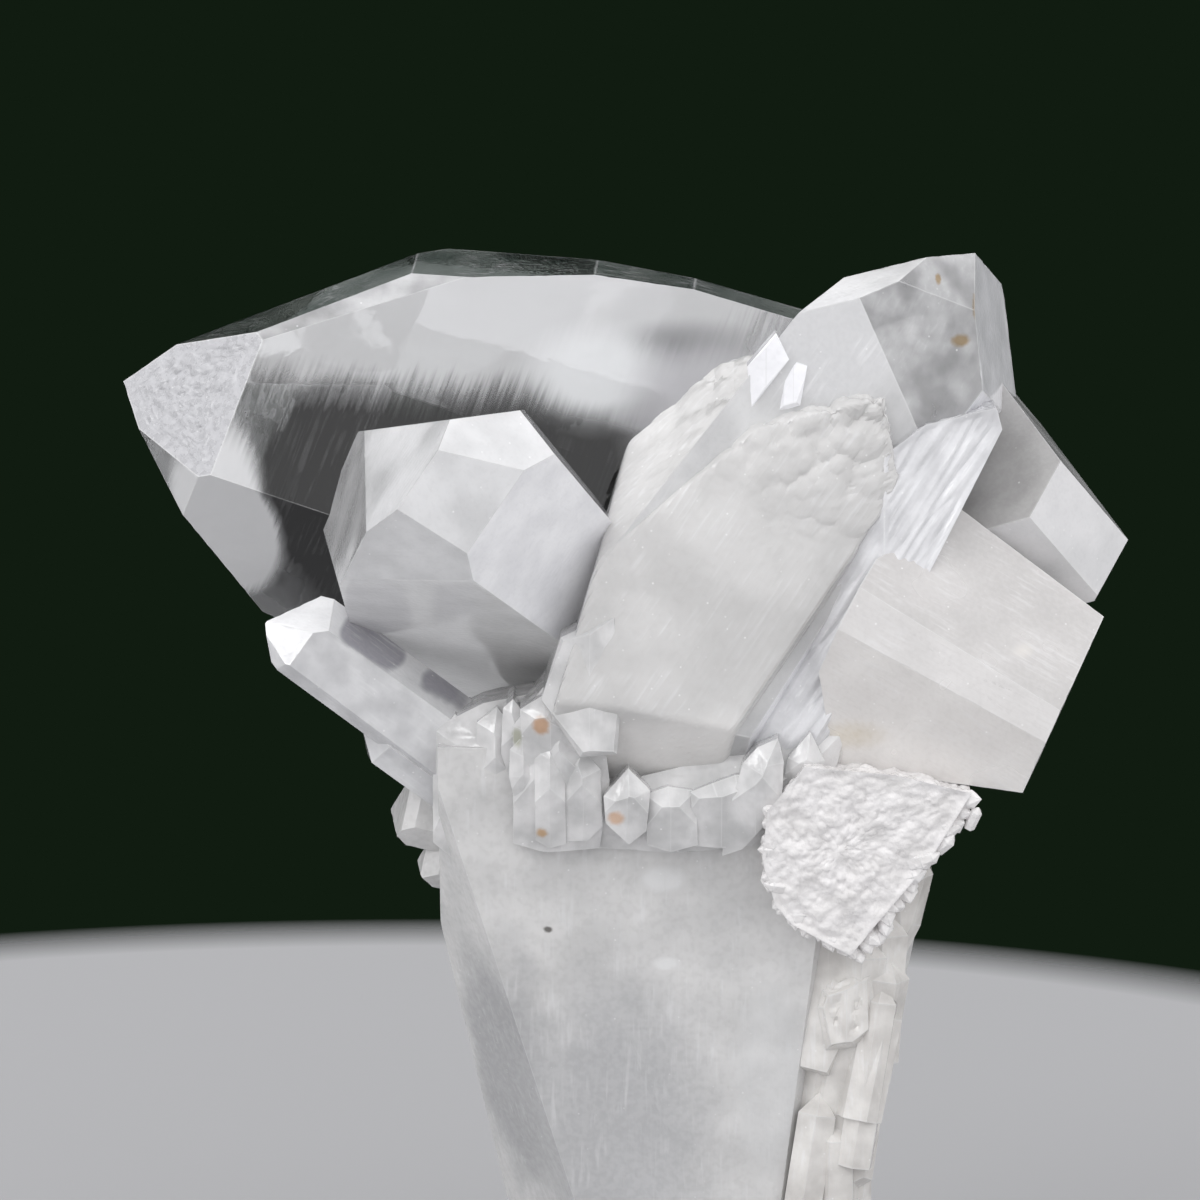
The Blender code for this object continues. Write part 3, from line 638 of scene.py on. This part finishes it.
back_faces = [
    (0.0, 90.0, 10.6), (-60.0, 90.0, 4.4), (-120.0, 90.0, 12.0), (180.0, 90.0, 14.0),
    (120.0, 90.0, 14.0), (60.0, 90.0, 12.0),
    (0.0, 50.7, 7.0), (-60.0, TIP_LEAN, 2.8), (60.0, TIP_LEAN, 8.7), (180.0, TIP_LEAN, 14.0),
]
back_quartz = quartz("back_quartz", (0.90, 0.89, 0.90), (0.84, 0.84, 0.85), (0.1, 0.25), (0.06, 0.15), cloud=8.0)
shaded_quartz = quartz("shaded_quartz", (0.62, 0.61, 0.60), (0.55, 0.54, 0.53), (0.3, 0.4), (0.1, 0.2), cloud=5.0)
put_mesh("back_crystal", [crystal((44.25, 7.05, 88.5), direction(51.9, -37.1), -172.0, back_faces, 17.0,
                                  step=0.7, slots={10: 1})], [back_quartz, shaded_quartz])


# Girdle of small milky points and broken flakes round the foot of the upright crystal, grown
# side by side out of the trunk, with a few rusty stains between them.
SHIFT = np.array([0.55, -4.95, 0.0])
flake = growth(0.05, 2.5, 0.02, 0.7)
girdle = [
    shard([(-8.2, 74.7), (-6.3, 80.8), (-0.8, 83.3), (-0.3, 75.4), (-0.8, 69.3), (-4.4, 69.0)], -23.9, -12.0, 30.0, 1.2,
          14.0, step=0.55, relief=flake),
    shard([(-10.3, 73.5), (-8.0, 74.9), (-6.4, 74.2), (-4.9, 70.8), (-4.4, 66.5), (-9.9, 67.5)], -21.9, -12.0, 55.0, 0.6, 9.6, -24.0, step=0.55, relief=flake),
    shard([(-11.4, 66.5), (-11.3, 69.2), (-10.0, 70.6), (-8.6, 69.4), (-8.4, 60.2), (-10.0, 60.5)], -19.9, -10.0, 55.0, 0.6, 10.8, -24.0, step=0.55, relief=flake),
    shard([(-8.8, 60.0), (-8.9, 69.2), (-7.4, 70.8), (-5.9, 69.4), (-5.8, 59.6), (-7.4, 59.2)], -20.9, -10.0, 55.0, 0.6, 10.8, -24.0, step=0.55, relief=flake),
    shard([(-6.1, 59.8), (-6.0, 68.8), (-4.2, 69.4), (-2.4, 67.3), (-2.2, 61.5), (-3.6, 60.0)], -20.5, -10.0, 55.0, 0.6, 8.4, -24.0, step=0.55, relief=flake),
    shard([(-2.1, 64.8), (0.3, 67.6), (2.5, 65.4), (2.1, 61.2), (0.4, 59.8), (-1.9, 62.0)], -21.5, -10.0, 55.0, 0.6, 10.8, -24.0, step=0.55, relief=flake),
    shard([(2.0, 64.8), (4.2, 65.6), (6.9, 65.2), (7.2, 59.6), (4.5, 58.9), (2.2, 59.6)], -20.5, -10.0, 55.0, 0.6, 7.2, -24.0, step=0.55, relief=flake),
    shard([(6.4, 65.2), (8.6, 66.0), (10.6, 66.8), (13.0, 66.9), (11.6, 59.2), (6.8, 59.4)], -20.9, -10.0, 55.0, 0.6, 7.2, -24.0, step=0.55, relief=flake),
    shard([(11.6, 68.2), (13.0, 69.7), (15.0, 70.6), (15.6, 68.2), (15.4, 64.8), (13.7, 61.8), (11.6, 59.2),
           (9.6, 58.4), (9.9, 62.5)], -21.7, -10.0, 55.0, 0.6, 8.4, -24.0, step=0.55, relief=flake),
    shard([(16.0, 68.5), (18.2, 71.0), (19.6, 68.2), (19.2, 66.2), (17.0, 64.2), (15.6, 66.2)], -20.5, -10.0, 55.0, 0.6, 9.6, -24.0, step=0.55, relief=flake),
    shard([(-18.6, 60.0), (-18.6, 69.5), (-16.8, 71.9), (-14.6, 70.2), (-14.4, 58.5), (-16.6, 56.5)], -14.7, -6.0, 55.0, 0.6, 7.2, -24.0, step=0.55, relief=flake),
    shard([(-14.8, 62.0), (-14.6, 71.4), (-12.6, 72.9), (-10.9, 70.8), (-10.8, 62.5), (-12.8, 59.5)], -16.9, -9.0, 55.0, 0.6, 9.6, -24.0, step=0.55, relief=flake),
    shard([(-12.2, 68.5), (-12.0, 73.1), (-11.0, 74.0), (-9.6, 72.2), (-9.9, 67.0), (-11.4, 66.0)], -18.7, -9.0, 55.0, 0.6, 9.6, -24.0, step=0.55, relief=flake),
    shard([(-11.0, 59.5), (-11.0, 71.5), (-7.5, 76.0), (-2.5, 74.0), (-1.5, 66.0), (-2.5, 59.0), (-8.0, 58.6)], -20.4,
          -8.0, 60.0, 1.5, 6.0, -20.0, step=0.55, relief=flake),
    shard([(-3.5, 59.0), (-3.5, 65.0), (15.0, 69.6), (21.8, 71.0), (20.5, 66.0), (12.5, 59.2), (5.0, 58.4)], -19.4,
          -8.0, 60.0, 1.5, 2.0, -24.0, step=0.55, relief=flake),
    shard([(-19.0, 59.0), (-19.0, 70.5), (-14.0, 73.0), (-9.0, 74.0), (-8.0, 66.0), (-10.0, 60.0), (-16.0, 56.5)],
          -16.2, -6.0, 55.0, 2.0, 8.0, -12.0, step=0.55, relief=flake),
]
girdle_quartz = quartz("girdle_quartz", (0.86, 0.85, 0.85), (0.78, 0.78, 0.78), (0.15, 0.4), (0.06, 0.15), cloud=3.5,
                       lines=(np.eye(3), 3.0, 0.4, 0.3, 0.02), rim=0.6,
                       spots=[((-8.2, -22.0, 72.0), (0.8, 4.0, 0.9), (0.72, 0.40, 0.20), 0.8),
                              ((-0.9, -22.0, 62.6), (0.8, 4.0, 0.7), (0.74, 0.42, 0.22), 0.7),
                              ((-8.2, -21.0, 60.8), (0.6, 4.0, 0.5), (0.70, 0.42, 0.18), 0.8),
                              ((-10.6, -20.0, 70.4), (0.5, 3.0, 0.9), (0.45, 0.46, 0.30), 0.6)])
put_mesh("girdle", girdle, [girdle_quartz])


# Frosted fan under the blocky crystal, a rough white mass of tiny quartz points that catch the
# light, bigger and rounder towards its lower end.
def slab(outline, front, back, lean=0.0, **more):
    """Flat body cut out by a plane through each side of an (x, z) outline, a front and a back plane."""
    corners = np.stack([np.array(outline)[:, 0], np.zeros(len(outline)), np.array(outline)[:, 1]], axis=1)
    middle = corners.mean(axis=0)
    cuts = []
    for start, end in zip(corners, np.roll(corners, -1, axis=0)):
        normal = np.array([end[2] - start[2], 0.0, start[0] - end[0]])
        cuts.append((start, normal * np.sign(normal @ (start - middle))))
    tilt = math.radians(lean)
    cuts.append(((middle[0], front, middle[2]), (0.0, -math.cos(tilt), -math.sin(tilt))))
    cuts.append(((middle[0], back, middle[2]), (0.0, 1.0, 0.0)))
    points, quads, marks, edges = crystal(middle, UP, 0.0, [(0.0, 0.0, 90.0)], 90.0, cuts, **more)
    return points + SHIFT, quads, marks, edges


def sugar(points, number, along, across):
    """Grains of two sizes standing out of a rough face."""
    return 0.25 * smooth_noise(points, 4.0, 23) + 0.3 * bubbles(points, 1.1, 21) + 0.2 * bubbles(points, 0.55, 22) - 0.4


fan_outline = [(17.0, 68.0), (13.4, 63.5), (12.9, 58.5), (14.3, 53.5), (16.0, 51.6), (22.3, 48.0),
               (23.6, 48.2), (29.2, 58.0), (34.6, 65.0), (26.0, 67.2)]
fan = [slab(fan_outline, -15.6, 6.0, 14.0, step=0.31, relief=sugar)]
fan_middle = np.mean(fan_outline, axis=0)
rng = random.Random(21)
for start, end in zip(fan_outline[1:8], fan_outline[2:9]):
    count = int(math.dist(start, end) / 0.9)
    for i in range(count):
        x, z = np.array(start) + (np.array(end) - start) * (i + rng.random()) / count
        y = -15.3 - 0.25 * (z - fan_middle[1])
        out = np.array([x - fan_middle[0], 0.0, z - fan_middle[1]])
        out /= np.linalg.norm(out)
        tip = np.array([x, y, z]) + rng.uniform(0.1, 0.7) * out + SHIFT
        fan.append(even_crystal(tip, out + [rng.uniform(-0.6, 0.6), rng.uniform(-1.4, -0.4), rng.uniform(-0.6, 0.6)],
                                rng.uniform(0.0, 60.0), rng.uniform(0.5, 1.1), 2.8, step=1.2))
# The fan's dense white specks are painted glints.
frosty = quartz("frosted_quartz", (0.93, 0.91, 0.91), (0.84, 0.82, 0.81), (0.02, 0.06), (0.2, 0.35), cloud=3.0, painted_glints=1.0,
                grain=(0.35, 0.08))
put_mesh("frosted_fan", fan, [frosty], crease=60.0)


# Crust of upright flakes down the right side of the trunk, thin broken quartz points grown
# together, cut off at the foot with the trunk.
crust_core = [(22.0, 58.0), (28.5, 55.0), (29.5, 52.0), (25.5, 41.0), (23.5, 22.0), (19.5, 0.0),
              (13.5, 0.0), (17.0, 30.0)]
crust = [slab(crust_core, -5.0, 11.0, step=0.7, relief=sugar)]
rng = random.Random(9)
for i in range(40):
    height = 55.0 - 45.0 * i / 40
    x = 17.6 + 0.17 * (height - 10.0) + rng.uniform(-3.2, 2.0)
    tip = np.array([x, rng.uniform(-9.0, 9.0), height]) + SHIFT
    lean = (0.14 + rng.uniform(-0.15, 0.15), rng.uniform(-0.15, 0.15), 1.0)
    roll = rng.uniform(0.0, 60.0)
    radius = rng.uniform(1.3, 2.6)
    crust.append(even_crystal(tip, lean, roll, radius, rng.uniform(13.0, 19.0), [((0.0, 0.0, 0.0), DOWN)],
                              step=1.5, relief=growth(0.04, 2.0, 0.02, 0.6)))
crust += [
    shard([(27.7, 55.0), (30.0, 56.7), (31.5, 53.7), (29.6, 49.9), (28.9, 46.9), (26.6, 39.4), (24.4, 38.2),
           (23.6, 46.4), (25.0, 51.9)], -12.0, 4.0, 30.0, 2.0, 12.0, step=0.5, relief=flake),
    shard([(19.2, 42.4), (20.0, 45.1), (22.9, 45.6), (24.6, 46.4), (24.8, 40.0), (23.0, 38.3), (20.0, 38.0)], -15.0,
          -2.0, 40.0, 1.0, 8.0, step=0.5, relief=sugar),
    shard([(22.3, 44.0), (22.6, 47.9), (24.8, 48.0), (25.3, 41.5), (23.6, 41.0)], -14.4, -2.0, 40.0, 0.8, 14.0,
          step=0.5, relief=flake),
    shard([(20.0, 39.0), (26.9, 40.4), (26.5, 37.1), (25.8, 31.4), (24.8, 24.3), (20.8, 22.0), (17.6, 26.3),
           (19.3, 34.7)], -13.6, -2.0, 35.0, 1.6, 10.0, step=0.75, relief=flake),
    shard([(17.0, 53.0), (23.0, 52.0), (23.5, 42.0), (20.5, 35.0), (17.2, 36.0)], -13.9, -2.0, 30.0, 1.0, 8.0,
          step=0.75, relief=flake),
    shard([(17.0, 27.5), (20.5, 29.0), (24.9, 27.5), (24.0, 16.0), (21.5, 4.0), (15.2, 3.0), (15.6, 16.0)], -12.6,
          -2.0, 35.0, 1.6, 10.0, step=0.75, relief=flake),
]
crust.append(even_crystal(np.array([31.6, -2.0, 52.6]) + SHIFT, (1.0, 0.0, 0.25), 8.0, 3.2, 14.0,
                          [((30.6, 0.0, 53.0), (1.0, 0.0, 0.3)), ((30.6, 0.0, 53.0), (0.8, 0.0, -0.7))], step=0.5,
                          relief=growth(0.04, 2.0, 0.02, 0.6)))
crust_quartz = quartz("crust_quartz", (0.86, 0.84, 0.81), (0.78, 0.75, 0.72), (0.1, 0.35), (0.12, 0.25), cloud=4.0, rim=0.5,
                      lines=(np.eye(3), 4.0, 0.4, 0.4, 0.03))
put_mesh("side_crust", crust, [crust_quartz])


# Blunt bumps on the left side of the trunk, and the crystals that fill the back of the specimen
# between the trunk and the clear crystal. All are quartz points like the others.
bumps = []
for heart, radius in (((-21.0, 1.0, 60.2), 3.0), ((-18.9, 2.0, 54.8), 2.1)):
    faces = [(60.0 * i, 90.0, radius) for i in range(6)] + [(0.0, 8.0, 2.2)]
    faces += [(60.0 * i, TIP_LEAN, 0.95 * radius) for i in range(0, 6, 2)]
    bumps.append(crystal(np.array(heart) + SHIFT, np.array([-1.0, -0.15, 0.25]) / math.hypot(1.0, 0.15, 0.25), 12.0,
                         faces, 8.0, step=0.4))
put_mesh("side_bumps", bumps, [trunk_white])
rear_places = [((14.0, 44.0, 70.0), (0.25, 0.9, 0.35), 8.0), ((-9.0, 41.0, 63.0), (-0.35, 0.9, 0.3), 6.5),
               ((28.0, 37.0, 86.0), (0.6, 0.75, 0.3), 7.5), ((2.0, 38.0, 52.0), (0.0, 1.0, 0.15), 5.0),
               ((19.0, 36.0, 48.0), (0.4, 0.9, 0.0), 4.5), ((-17.0, 31.0, 55.0), (-0.7, 0.7, 0.1), 4.0),
               ((27.0, 27.0, 60.0), (0.9, 0.5, 0.1), 5.5), ((9.0, 36.0, 36.0), (0.1, 1.0, -0.1), 3.5)]
rear = [even_crystal(np.array(tip) + SHIFT, axis, 17.0 * i, radius, 26.0, step=0.7)
        for i, (tip, axis, radius) in enumerate(rear_places)]
put_mesh("rear_crystals", rear, [back_quartz])


# Camera at the photo's angle, a long lens that looks slightly down.
target = np.array([-0.00245, -0.00495, 0.082])
look = np.array([0.0, math.cos(math.radians(8.0)), -math.sin(math.radians(8.0))])
camera = bpy.data.objects.new("camera", bpy.data.cameras.new("camera"))
camera.data.lens = 210.0
camera.data.sensor_width = 36.0
camera.data.clip_start = 0.01
camera.location = target - 0.7 * look
camera.rotation_euler = (math.radians(90.0 - 8.0), 0.0, 0.0)
bpy.context.scene.collection.objects.link(camera)
bpy.context.scene.camera = camera

# Table, a small pale round-ended board whose far edge fades out of focus, in a dark green room.
world = bpy.data.worlds.new("dark_room")
world.use_nodes = True
nodes, links = world.node_tree.nodes, world.node_tree.links
ways = nodes.new("ShaderNodeTexCoord").outputs["Generated"]
shade = []
for axis, low, high in (((0.0, 0.99, -0.14), 0.35, 0.62), ((0.0, -0.25, 0.97), -0.1, 0.9)):
    dot = nodes.new("ShaderNodeVectorMath")
    dot.operation = 'DOT_PRODUCT'
    dot.inputs[1].default_value = axis
    links.new(ways, dot.inputs[0])
    step = nodes.new("ShaderNodeMapRange")
    step.interpolation_type = 'SMOOTHSTEP'
    step.inputs["From Min"].default_value, step.inputs["From Max"].default_value = low, high
    links.new(dot.outputs["Value"], step.inputs["Value"])
    shade.append(step.outputs["Result"])
sky = nodes.new("ShaderNodeMix")
sky.data_type = 'RGBA'
links.new(shade[1], sky.inputs[0])
sky.inputs[6].default_value, sky.inputs[7].default_value = (0.80, 0.80, 0.81, 1.0), (1.45, 1.45, 1.47, 1.0)
room = nodes.new("ShaderNodeMix")
room.data_type = 'RGBA'
links.new(shade[0], room.inputs[0])
links.new(sky.outputs[2], room.inputs[6])
room.inputs[7].default_value = (0.0056, 0.0116, 0.0056, 1.0)
links.new(room.outputs[2], nodes["Background"].inputs["Color"])
bpy.context.scene.world = world
bpy.context.scene.view_settings.view_transform = 'Standard'
TABLE_RADIUS, TABLE_X, TABLE_NEAR, TABLE_FAR = 0.165, -0.0265, -0.10, 0.095
turn = np.linspace(0.0, math.pi, 49)
half_far = np.stack([TABLE_X + TABLE_RADIUS * np.cos(turn), TABLE_FAR + TABLE_RADIUS * np.sin(turn)], axis=1)
half_near = np.stack([TABLE_X - TABLE_RADIUS * np.cos(turn), TABLE_NEAR - TABLE_RADIUS * np.sin(turn)], axis=1)
outline = np.concatenate([half_far, half_near])
table = bpy.data.meshes.new("table")
table.from_pydata([(x, y, 0.0) for x, y in outline], [], [list(range(len(outline)))])
table_piece = bpy.data.objects.new("table", table)
bpy.context.scene.collection.objects.link(table_piece)
paint = bpy.data.materials.new("table_paint")
paint.use_nodes = True
nodes, links = paint.node_tree.nodes, paint.node_tree.links
nodes["Principled BSDF"].inputs["Base Color"].default_value = (0.42, 0.42, 0.43, 1.0)
nodes["Principled BSDF"].inputs["Roughness"].default_value = 0.6
place = nodes.new("ShaderNodeSeparateXYZ")
links.new(nodes.new("ShaderNodeTexCoord").outputs["Object"], place.inputs[0])
clamp = nodes.new("ShaderNodeClamp")
clamp.inputs["Min"].default_value = TABLE_NEAR
clamp.inputs["Max"].default_value = TABLE_FAR
links.new(place.outputs["Y"], clamp.inputs["Value"])
middle = nodes.new("ShaderNodeCombineXYZ")
middle.inputs["X"].default_value = TABLE_X
links.new(clamp.outputs[0], middle.inputs["Y"])
gap = nodes.new("ShaderNodeVectorMath")
gap.operation = 'DISTANCE'
links.new(nodes["Texture Coordinate"].outputs["Object"], gap.inputs[0])
links.new(middle.outputs[0], gap.inputs[1])
soft = nodes.new("ShaderNodeMapRange")
soft.inputs["From Min"].default_value = 0.165
soft.inputs["From Max"].default_value = 0.145
links.new(gap.outputs["Value"], soft.inputs["Value"])
links.new(soft.outputs["Result"], nodes["Principled BSDF"].inputs["Alpha"])
table.materials.append(paint)


# Light, one soft box from the front left; the room's bright sky gives the rest.
def soft_light(name, place, aim, size, power):
    """Square soft light at place, turned to aim; sizes in metres and power in watts."""
    data = bpy.data.lights.new(name, 'AREA')
    data.size = size
    data.energy = power
    lamp = bpy.data.objects.new(name, data)
    bpy.context.scene.collection.objects.link(lamp)
    back = np.array(place) - np.array(aim)
    back /= np.linalg.norm(back)
    lamp.location = place
    lamp.rotation_euler = (math.acos(back[2]), 0.0, math.atan2(back[0], -back[1]))
    return lamp


soft_light("left_light", (-0.5, -0.5, 0.55), (0.0, 0.0, 0.07), 0.25, 0.9)
bpy.context.scene.cycles.max_bounces = 6
bpy.context.scene.cycles.transmission_bounces = 6
